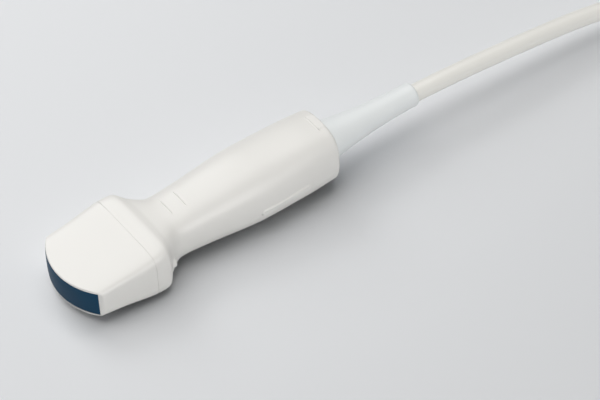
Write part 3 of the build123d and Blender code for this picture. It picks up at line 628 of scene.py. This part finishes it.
SEAM_MARGIN, LINE_MARGIN = 0.3, 0.425
upper_places = stops(
    SEAM,
    (SEAM + SEAM_MARGIN, 0.15),
    (THUMB_LINES[0] - LINE_MARGIN, 0.5),
    (THUMB_LINES[0] + LINE_MARGIN, 0.07),
    (THUMB_LINES[1] - LINE_MARGIN, 0.5),
    (THUMB_LINES[1] + LINE_MARGIN, 0.07),
    (NOTCH_PLACE - 0.9, 0.6),
    (NOTCH_PLACE - 0.1, 0.08),
    (NOTCH_PLACE + 0.1, 0.05),
    (NOTCH_PLACE + 1.1, 0.1),
    (TAIL - TAIL_ROUND, 0.3),
)
lower_places = stops(
    SEAM,
    (SEAM + SEAM_MARGIN, 0.15),
    (MARK_PLACE - 1.8, 0.5),
    (MARK_PLACE + 2.0, 0.12),
    (BAR_START - 0.8, 0.6),
    (BAR_START + 2.4, 0.13),
    (BAR_END - 2.4, 0.6),
    (BAR_END + 0.8, 0.16),
    (TAIL - TAIL_ROUND, 0.6),
)
upper_turns = stops(0, (0.7, 0.022), (1.3, 0.0125), (2, 0.022))
lower_turns = stops(2, (2.4, 0.009), (3.6, 0.03), (4, 0.009))
upper_loops = [shell_loop(turn, upper_places, upper_skin) for turn in upper_turns]
lower_loops = [shell_loop(turn, lower_places, lower_skin) for turn in lower_turns]
handle_top = skin("handle_top", upper_loops, False, white_abs)
handle_base = skin("handle_base", lower_loops, False, white_abs)
for piece, node in ((handle_top, "handle_upper_shell"), (handle_base, "handle_lower_shell")):
    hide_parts(node)
    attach(piece, "probe")

# %% [markdown]
# ## Lens
# The lens is a bent slab that fills the window, its face a little proud of the rim and crowned by
# a quarter of a millimetre from its middle to its long edges. It is made of upright cross-sections
# side by side, and the corners of each, and the two ends, are rounded.

# %% Lens
LENS_THICKNESS, LENS_CROWN, LENS_EDGE, LENS_ROWS = 1.4, 0.25, 0.3, 12


def lens_section(across):
    """Return the lens's closed upright cross-section at a distance across."""
    into_end = max(0, abs(across) - (LENS_HALF_WIDTH - LENS_EDGE))
    shrink = LENS_EDGE - math.sqrt(max(0, LENS_EDGE**2 - into_end**2))
    face = LENS_RADIUS - math.sqrt(LENS_RADIUS**2 - across**2)
    rear = LENS_RADIUS - math.sqrt((LENS_RADIUS - LENS_THICKNESS) ** 2 - across**2)
    tall = LENS_HALF_HEIGHT - shrink
    section = []
    for step in range(2 * LENS_ROWS + 1):
        height = tall * (step / LENS_ROWS - 1)
        into_edge = max(0, abs(height) - (tall - LENS_EDGE))
        edge = LENS_EDGE - math.sqrt(max(0, LENS_EDGE**2 - into_edge**2))
        crown = LENS_CROWN * (height / LENS_HALF_HEIGHT) ** 2
        section.append(on_probe(face + crown + edge + shrink, across, height))
    return section + [on_probe(rear, across, height) for height in (tall, -tall)]


lens_stops = stops(
    -LENS_HALF_WIDTH,
    (LENS_EDGE - LENS_HALF_WIDTH, 0.05),
    (LENS_HALF_WIDTH - LENS_EDGE, 0.35),
    (LENS_HALF_WIDTH, 0.05),
)
lens_sections = [lens_section(across) for across in lens_stops]
lens_face = skin("lens_face", lens_sections, False, lens_silicone)
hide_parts("acoustic_lens")
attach(lens_face, "probe")

# %% [markdown]
# ## Boot
# The boot is moulded rubber, held by a flange inside the tail. Outside it flares in a hollow curve
# from the tail down to the cable and ends in a rounded lip. A turned profile makes it.

# %% Boot
BOOT_BORE, BOOT_NECK, BOOT_BASE, BOOT_WAIST = 3.95, 8.0, 9.0, (145.0, 6.6)
BOOT_GAP, BOOT_LIP, LIP_STEPS, BOOT_TURNS = 0.05, 1.2, 7, 96
BOOT_TIP = (BOOT_END - BOOT_LIP, BOOT_TIP_RADIUS)
FLANGE_START, FLANGE_END, FLANGE_RADIUS = 119.45, 123.65, 10.6
BOOT_EDGE = ((BOOT_GAP, 8.75), (0.12, 8.92))
boot_start = TAIL + BOOT_GAP


def flare(place):
    """Return the boot's radius at a place: a parabola through its base, waist and tip."""
    fall = (BOOT_WAIST[1] - BOOT_BASE) / (BOOT_WAIST[0] - boot_start)
    later = (BOOT_TIP[1] - BOOT_WAIST[1]) / (BOOT_TIP[0] - BOOT_WAIST[0])
    bend = (later - fall) / (BOOT_TIP[0] - boot_start)
    return BOOT_BASE + (place - boot_start) * (fall + bend * (place - BOOT_WAIST[0]))


profile = [(BOOT_END, BOOT_BORE), (FLANGE_START, BOOT_BORE), (FLANGE_START, FLANGE_RADIUS)]
profile += [(FLANGE_END, FLANGE_RADIUS), (FLANGE_END, BOOT_NECK), (boot_start, BOOT_NECK)]
profile += [(TAIL + beyond, radius) for beyond, radius in BOOT_EDGE]
for place in (TAIL + 0.3, *stops(TAIL + 0.8, (BOOT_TIP[0], 0.9))):
    profile.append((place, flare(place)))
for step in range(1, LIP_STEPS + 1):
    angle = math.pi / 2 * step / LIP_STEPS
    radius = BOOT_TIP_RADIUS - BOOT_LIP * (1 - math.cos(angle))
    profile.append((BOOT_TIP[0] + BOOT_LIP * math.sin(angle), radius))
boot_loops = []
for number in range(BOOT_TURNS):
    angle = 2 * math.pi * number / BOOT_TURNS
    boot_loops.append(
        [on_probe(place, r * math.cos(angle), r * math.sin(angle)) for place, r in profile]
    )
boot_flare = skin("boot_flare", boot_loops, True, boot_rubber)
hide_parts("strain_relief")
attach(boot_flare, "probe")

# %% [markdown]
# ## Finishes of the inner and small pieces
# Inside the housing are metal, laminate, film, ceramic and resin. They show only when someone
# opens the part, so each gets one grain of its own real size and its own shine.


# %% Inner finishes
def grained(name, dark, light, grain_mm, roughness, metallic=0.0, stretch=(1, 1, 1)):
    """Return a material whose tone and height follow one grain of a real size."""
    material, tree, shader, place = start_material(name)
    turned = add(tree, "ShaderNodeMapping", values={"Scale": stretch}, links={"Vector": place})
    grain = noise(tree, turned.outputs["Vector"], per_metre(grain_mm), 3.0)
    tint(tree, shader, dark, light, grain)
    relief(tree, shader, 0.15, 0.05, grain)
    shader.inputs["Roughness"].default_value = roughness
    shader.inputs["Metallic"].default_value = metallic
    return material


# Brushed metal has its grain drawn out along the probe, cast and moulded stuff has it round
aluminium = grained("milled_aluminium", "#B4B6B8", "#CDCFD1", 0.4, 0.38, 1.0, (0.05, 1, 1))
steel = grained("plated_steel", "#A9ABAE", "#C3C5C8", 0.3, 0.28, 1.0, (1, 1, 0.1))
gold = grained("gold_plate", "#C9A24E", "#DDB867", 0.2, 0.25, 1.0)
laminate = grained("glass_epoxy_laminate", "#1C5A3A", "#277048", 1.6, 0.35)
black_polyester = grained("glass_filled_polyester", "#2B2A29", "#383735", 0.5, 0.5)
film = grained("polyimide_film", "#A8691F", "#BC7C2C", 2.0, 0.25)
wires = grained("coaxial_wires", "#BDB49F", "#DAD3C2", 0.6, 0.45, 0.0, (0.05, 1, 1))
nylon = grained("moulded_nylon", "#42454A", "#50535A", 0.8, 0.5)
seal = grained("silicone_seal", "#3A3D40", "#47494C", 0.6, 0.55)
ceramic = grained("piezo_ceramic", "#BBA67C", "#CDBA92", 0.3, 0.6)
matching = grained("filled_epoxy", "#6F6557", "#81776A", 0.25, 0.6)
backing = grained("tungsten_epoxy", "#2F2E2E", "#3D3C3B", 0.35, 0.7)
FINISHES = {
    "outer_matching_layer": matching,
    "inner_matching_layer": matching,
    "piezo_array": ceramic,
    "backing_block": backing,
    "nose_seal": seal,
    "array_carrier": aluminium,
    "chassis": aluminium,
    "upper_board": laminate,
    "lower_board": laminate,
    "upper_board_socket": black_polyester,
    "lower_board_socket": black_polyester,
    "upper_flex_circuit": film,
    "lower_flex_circuit": film,
    "upper_coax_fan": wires,
    "lower_coax_fan": wires,
    "upper_cable_clamp": nylon,
    "lower_cable_clamp": nylon,
    "connector_board": laminate,
    "connector_clamp": nylon,
}
for name, material in FINISHES.items():
    nodes[name].data.materials.clear()
    nodes[name].data.materials.append(material)
print("finished", len(FINISHES), "inner pieces")

# %% [markdown]
# ## Connector
# The cable ends in a flat box that locks into the imaging system by a quarter turn of its knob.
# The CAD pieces have the right shape already, but their triangles are loose and shade flat. A
# merged copy of each, smooth except at its real edges, stands in for it.


# %% Connector pieces
MERGED_CRISP = 32


def plain_mesh(piece):
    """Put what an object's modifiers make of its mesh in the mesh's place."""
    bpy.context.view_layer.update()
    piece.data = bpy.data.meshes.new_from_object(
        piece.evaluated_get(bpy.context.evaluated_depsgraph_get())
    )
    piece.modifiers.clear()


def merged(node, name, material, body):
    """Return a copy of a CAD node with its triangles joined, its large faces shaded flat."""
    piece = finish_mesh(name, nodes[node].data.copy(), material, MERGED_CRISP)
    piece.modifiers.new("flat_faces", "WEIGHTED_NORMAL").keep_sharp = True
    plain_mesh(piece)
    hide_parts(node)
    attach(piece, body)
    return piece


connector_pieces = [
    merged("connector_base", "connector_tray", white_abs, "probe"),
    merged("connector_shroud", "mating_shroud", aluminium, "probe"),
    merged("connector_cover", "connector_lid", white_abs, "probe"),
    merged("contact_block", "contact_carrier", black_polyester, "probe"),
    merged("connector_boot", "connector_sleeve", boot_rubber, "probe"),
    merged("lock_knob", "lock_handle", white_abs, "connector_lock"),
    merged("lock_shaft", "lock_spindle", steel, "connector_lock"),
    merged("lock_clip", "lock_ring", steel, "connector_lock"),
]
connector_pieces += [nodes["connector_board"], nodes["connector_clamp"]]

# %% [markdown]
# ## Screws
# Every screw is the same kind in another size: a pan head with a cross recess on a plain shank.
# One Geometry Nodes tree builds it from named sizes and puts a copy on each point it is given,
# turned along that point's axis. Realize Instances makes the copies one plain mesh. The contacts
# have a tree as well, so what both trees need is in functions.


# %% Tree helpers
def start_tree(name, points, sizes):
    """Return a new geometry tree, its inputs, and the identifiers of its named sizes."""
    tree = bpy.data.node_groups.new(name, "GeometryNodeTree")
    tree.interface.new_socket(points, in_out="INPUT", socket_type="NodeSocketGeometry")
    identifiers = {}
    for size_name, kind in sizes.items():
        identifiers[size_name] = tree.interface.new_socket(
            size_name, in_out="INPUT", socket_type=kind
        ).identifier
    tree.interface.new_socket("Geometry", in_out="OUTPUT", socket_type="NodeSocketGeometry")
    return tree, add(tree, "NodeGroupInput").outputs, identifiers


def times(tree, value, factor):
    """Return a value multiplied by a factor."""
    made = add(tree, "ShaderNodeMath", {"operation": "MULTIPLY"}, {1: factor}, {0: value})
    return made.outputs[0]


def lifted(tree, mesh, lift):
    """Return a mesh moved up by a lift."""
    move = add(tree, "ShaderNodeCombineXYZ", links={"Z": lift}).outputs[0]
    links = {"Geometry": mesh, "Translation": move}
    return add(tree, "GeometryNodeTransform", links=links).outputs[0]


def finish_tree(tree, copies, material):
    """Send a tree's copies to its output as one plain mesh of one material."""
    whole = add(tree, "GeometryNodeRealizeInstances", links={0: copies}).outputs[0]
    values = {"Material": material}
    painted = add(tree, "GeometryNodeSetMaterial", values=values, links={0: whole}).outputs[0]
    add(tree, "NodeGroupOutput", links={0: painted})
    print(tree.name, "has", len(tree.nodes), "nodes")


def grown(name, points, tree, values):
    """Return the plain piece that a tree makes on a mesh of points from values for its sizes."""
    piece = bpy.data.objects.new(name, points)
    scene.collection.objects.link(piece)
    modifier = piece.modifiers.new(tree.name, "NODES")
    modifier.node_group = tree
    for identifier, value in values.items():
        modifier[identifier] = value
    plain_mesh(piece)
    return piece


# %% Screw tree
SCREW_SIZES = ("Head Radius", "Head Height", "Shank Radius", "Shank Length")
HEAD_SIDES, SHANK_SIDES = 32, 20
RECESS_LENGTH, RECESS_WIDTH = 1.2, 0.28
screw_tree, given, screw_sockets = start_tree(
    "pan_head_screws", "Geometry", dict.fromkeys(SCREW_SIZES, "NodeSocketFloat")
)
head_radius, head_height = given["Head Radius"], given["Head Height"]
head = add(
    screw_tree,
    "GeometryNodeMeshCylinder",
    values={"Vertices": HEAD_SIDES},
    links={"Radius": head_radius, "Depth": head_height},
)
head_up = lifted(screw_tree, head.outputs["Mesh"], times(screw_tree, head_height, 0.5))
slot_size = add(
    screw_tree,
    "ShaderNodeCombineXYZ",
    links={
        "X": times(screw_tree, head_radius, RECESS_LENGTH),
        "Y": times(screw_tree, head_radius, RECESS_WIDTH),
        "Z": head_height,
    },
)
slot_bar = add(screw_tree, "GeometryNodeMeshCube", links={"Size": slot_size.outputs[0]})
slot_one = lifted(screw_tree, slot_bar.outputs["Mesh"], head_height)
slot_two = add(
    screw_tree,
    "GeometryNodeTransform",
    values={"Rotation": (0, 0, math.pi / 2)},
    links={"Geometry": slot_one},
).outputs[0]
recessed = add(
    screw_tree,
    "GeometryNodeMeshBoolean",
    {"operation": "DIFFERENCE", "solver": "EXACT"},
    links={"Mesh 1": head_up},
)
for cutter in (slot_one, slot_two):
    screw_tree.links.new(cutter, recessed.inputs["Mesh 2"])
shank = add(
    screw_tree,
    "GeometryNodeMeshCylinder",
    values={"Vertices": SHANK_SIDES},
    links={"Radius": given["Shank Radius"], "Depth": given["Shank Length"]},
)
shank_drop = times(screw_tree, given["Shank Length"], -0.5)
shank_down = lifted(screw_tree, shank.outputs["Mesh"], shank_drop)
screw = add(screw_tree, "GeometryNodeJoinGeometry")
for half in (recessed.outputs["Mesh"], shank_down):
    screw_tree.links.new(half, screw.inputs["Geometry"])
point_axis = add(
    screw_tree, "GeometryNodeInputNamedAttribute", {"data_type": "FLOAT_VECTOR"}, {"Name": "axis"}
)
turned = add(
    screw_tree,
    "FunctionNodeAlignRotationToVector",
    {"axis": "Z"},
    links={"Vector": point_axis.outputs["Attribute"]},
)
screws = add(
    screw_tree,
    "GeometryNodeInstanceOnPoints",
    links={
        "Points": given["Geometry"],
        "Instance": screw.outputs[0],
        "Rotation": turned.outputs["Rotation"],
    },
)
finish_tree(screw_tree, screws.outputs[0], steel)


# %% Screws in their seats
SCREW_CRISP = 35


def screw_set(name, node, seats, axes, sizes, body):
    """Make a node's screws: seats in metres, axes towards the heads, sizes in millimetres."""
    points = bpy.data.meshes.new(name)
    points.from_pydata(seats, [], [])
    aims = points.attributes.new("axis", "FLOAT_VECTOR", "POINT")
    for spot, axis in zip(aims.data, axes):
        spot.vector = axis
    values = {screw_sockets[key]: size * MM for key, size in zip(SCREW_SIZES, sizes)}
    piece = grown(name, points, screw_tree, values)
    shade(piece.data, SCREW_CRISP)
    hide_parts(node)
    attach(piece, body)
    print(name, "has", len(seats), "screws and", len(piece.data.polygons), "faces")
    return piece


SMALL_SCREW = (1.8, 1.1, 0.9)
CONNECTOR = Vector((523.0, 6.0, 0.0))
CASE_ALONG, CASE_ACROSS, CASE_SEAT, KNOB_SEAT = 35.6, 22.6, 9.4, 49.3
BOARD_PLACES, BOARD_ACROSS, BOARD_SEAT = (62.5, 93.0), 6.0, 4.6
CLAMP_PLACE, CLAMP_ACROSS, CLAMP_SEAT = 112, 7.4, 7.0
CARRIER_PLACES, CARRIER_SEAT = (25.0, 31.0), 2.95
case_corners = [(x, y) for x in (-CASE_ALONG, CASE_ALONG) for y in (-CASE_ACROSS, CASE_ACROSS)]
case_screws = screw_set(
    "case_screws",
    "connector_screws",
    [(CONNECTOR + Vector((x, y, CASE_SEAT))) * MM for x, y in case_corners],
    [(0, 0, -1)] * 4,
    (2.5, 2.0, 1.3, 22.8),
    "probe",
)
knob_screw = screw_set(
    "knob_screw",
    "lock_screw",
    [(CONNECTOR + Vector((0, 0, KNOB_SEAT))) * MM],
    [(0, 0, 1)],
    (3.0, 2.0, 1.5, 9.0),
    "connector_lock",
)
board_seats, board_axes = [], []
for side in (-1, 1):
    for place in BOARD_PLACES:
        for across in (-BOARD_ACROSS, BOARD_ACROSS):
            board_seats.append(on_probe(place, across, side * BOARD_SEAT))
            board_axes.append(RISE * side)
clamp_seats = [
    on_probe(CLAMP_PLACE, across, CLAMP_SEAT) for across in (-CLAMP_ACROSS, CLAMP_ACROSS)
]
carrier_seats = [on_probe(place, 0, CARRIER_SEAT) for place in CARRIER_PLACES]
for name, node, seats, axes, length in (
    ("board_bolts", "board_screws", board_seats, board_axes, 4.1),
    ("clamp_bolts", "clamp_screws", clamp_seats, [RISE] * 2, 14.0),
    ("carrier_bolts", "carrier_screws", carrier_seats, [RISE] * 2, 3.95),
):
    screw_set(name, node, seats, axes, (*SMALL_SCREW, length), "probe")
connector_pieces += [case_screws, knob_screw]

# %% [markdown]
# ## Contacts
# Two fields of gold-plated pads fill the mating face. They repeat on a grid, so a second tree lays
# them out from their pitch and size.

# %% Contact tree
CONTACT_ROWS, CONTACT_PITCH, PAD_SIZE = 6, 3.2, (1.6, 1.0, 0.7)
FIELD_ALONG, CONTACT_FACE = 18.0, 6.4
contact_tree, given, contact_sockets = start_tree(
    "contact_field", "Fields", {"Pitch": "NodeSocketFloat", "Pad Size": "NodeSocketVector"}
)
spread = times(contact_tree, given["Pitch"], CONTACT_ROWS - 1)
grid = add(
    contact_tree,
    "GeometryNodeMeshGrid",
    values={"Vertices X": CONTACT_ROWS, "Vertices Y": CONTACT_ROWS},
    links={"Size X": spread, "Size Y": spread},
)
pad = add(contact_tree, "GeometryNodeMeshCube", links={"Size": given["Pad Size"]})
pads = add(
    contact_tree,
    "GeometryNodeInstanceOnPoints",
    links={"Points": grid.outputs["Mesh"], "Instance": pad.outputs["Mesh"]},
)
fields = add(
    contact_tree,
    "GeometryNodeInstanceOnPoints",
    links={"Points": given["Fields"], "Instance": pads.outputs[0]},
)
finish_tree(contact_tree, fields.outputs[0], gold)
field_height = CONTACT_FACE - PAD_SIZE[2] / 2
field_points = bpy.data.meshes.new("contact_pads")
field_points.from_pydata(
    [(CONNECTOR + Vector((x, 0, field_height))) * MM for x in (-FIELD_ALONG, FIELD_ALONG)], [], []
)
contact_values = {
    contact_sockets["Pitch"]: CONTACT_PITCH * MM,
    contact_sockets["Pad Size"]: tuple(size * MM for size in PAD_SIZE),
}
contact_pads = grown("contact_pads", field_points, contact_tree, contact_values)
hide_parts("contacts")
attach(contact_pads, "probe")
connector_pieces.append(contact_pads)
print("contact pads have", len(contact_pads.data.polygons), "faces")

# %% [markdown]
# ## Tie
# A band of woven hook-and-loop tape holds the hank. It is one rounded band round all the strands.
# The weave is 0.6 mm, drawn by three crossed waves, so that it shows on every side of the band.

# %% Woven tape
WEAVE, WAVES_PER_SCALE = 0.6, 20
tape, tree, shader, place = start_material("woven_tape")
threads = []
for direction in ("X", "Y", "Z"):
    wave = add(
        tree,
        "ShaderNodeTexWave",
        {"bands_direction": direction},
        {"Scale": per_metre(WEAVE) / WAVES_PER_SCALE, "Distortion": 0.4},
        {"Vector": place},
    )
    threads.append(wave.outputs["Fac"])
woven = add(
    tree, "ShaderNodeMath", {"operation": "MULTIPLY"}, links={0: threads[0], 1: threads[1]}
).outputs[0]
weave = add(
    tree, "ShaderNodeMath", {"operation": "ADD"}, links={0: woven, 1: threads[2]}
).outputs[0]
tint(tree, shader, "#3A3E44", "#565B63", weave)
relief(tree, shader, 0.4, 0.2, weave)
shader.inputs["Roughness"].default_value = 0.85
print("made", tape.name)

# %% Tie band
TIE_START, TIE_END, TIE_THICK = 312.0, 328.0, 1.1
TIE_BOW, TIE_EDGE, TIE_STEPS = 3.0, 0.3, 64
tie_low, tie_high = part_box("cable_tie")
tie_middle = (tie_low + tie_high) / 2 / MM
half_across = (tie_high.y - tie_low.y) / 2 / MM
half_tall = (tie_high.z - tie_low.z) / 2 / MM


def band_point(angle, inset):
    """Return across and height on the band's rounded square, inset from its outside."""
    bow = TIE_BOW - inset
    wide, tall = half_across - inset - bow, half_tall - inset - bow
    cosine, sine = math.cos(angle), math.sin(angle)
    across = math.copysign(wide, cosine) + bow * cosine
    return tie_middle.y + across, tie_middle.z + math.copysign(tall, sine) + bow * sine


tie_loops = []
for number in range(TIE_STEPS):
    angle = 2 * math.pi * (number + 0.5) / TIE_STEPS
    outer, edge, inner = (band_point(angle, inset) for inset in (0.0, TIE_EDGE, TIE_THICK))
    section = [(TIE_START + TIE_EDGE, outer), (TIE_END - TIE_EDGE, outer), (TIE_END, edge)]
    section += [(TIE_END, inner), (TIE_START, inner), (TIE_START, edge)]
    tie_loops.append([Vector((x, *spot)) * MM for x, spot in section])
tie_band = skin("tie_band", tie_loops, True, tape)
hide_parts("cable_tie")
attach(tie_band, "probe")

# %% Cable in place
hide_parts("cable", "cable_hank", "cable_tail")
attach(cable_lead, "probe")
print("cable carries", len(connector_pieces) + 1, "pieces")

# %% [markdown]
# ## Table and light
# The photograph is a plain studio shot: a pale, faintly cool table, and one large soft lamp high
# up behind the probe. Two small lamps, behind and on the left, lift the edges there. The sides
# that face the camera are brighter than the shadow at their foot allows, so a front lamp lights
# them and leaves the table out, by light linking. The room itself is dim, which keeps the shadow.

# %% Table
TABLE_HALF, TABLE_DROP = 3, 0.0002
paper, tree, shader, place = start_material("pale_table")
tint(tree, shader, "#E3E5E8", "#E6E8EB", noise(tree, place, per_metre(300), 1.0))
shader.inputs["Roughness"].default_value = 0.7
shader.inputs["Specular IOR Level"].default_value = 0.2
table_corners = [
    (x * TABLE_HALF, y * TABLE_HALF, -TABLE_DROP) for x, y in ((-1, -1), (1, -1), (1, 1), (-1, 1))
]
table_mesh = bpy.data.meshes.new("table_top")
table_mesh.from_pydata(table_corners, [], [(0, 1, 2, 3)])
table_mesh.materials.append(paper)
table_top = bpy.data.objects.new("table_top", table_mesh)
scene.collection.objects.link(table_top)
print("table of", 2 * TABLE_HALF, "by", 2 * TABLE_HALF, "m")


# %% Lamps
def lamp(name, place, size, power, code):
    """Add a square soft lamp that looks at the probe: metres, watts and a hex colour."""
    light = bpy.data.lights.new(name, "AREA")
    light.shape = "SQUARE"
    light.size = size
    light.energy = power
    light.color = colour(code)[:3]
    stand = bpy.data.objects.new(name, light)
    stand.location = place
    stand.rotation_euler = Vector(place).to_track_quat("Z", "Y").to_euler()
    scene.collection.objects.link(stand)
    return stand


lamp("key_lamp", (-0.2, 0.45, 1.3), 1.8, 21.5, "#FFFEFC")
lamp("back_lamp", (0.0, 1.0, 0.7), 0.6, 3.4, "#FFFFFF")
lamp("left_lamp", (-1.2, -0.1, 0.6), 0.6, 1.8, "#FFFFFF")
front_lamp = lamp("front_lamp", (0.1, -1.05, 0.48), 0.6, 7.2, "#FFFEFC")
shaded = bpy.data.collections.new("kept_from_front_lamp")
shaded.objects.link(table_top)
shaded.collection_objects[0].light_linking.link_state = "EXCLUDE"
front_lamp.light_linking.receiver_collection = shaded
world = bpy.data.worlds.new("dim_room")
world.use_nodes = True
background = world.node_tree.nodes["Background"]
background.inputs["Color"].default_value = colour("#F7F9FB")
background.inputs["Strength"].default_value = 0.05
scene.world = world
print("four lamps and a dim room")
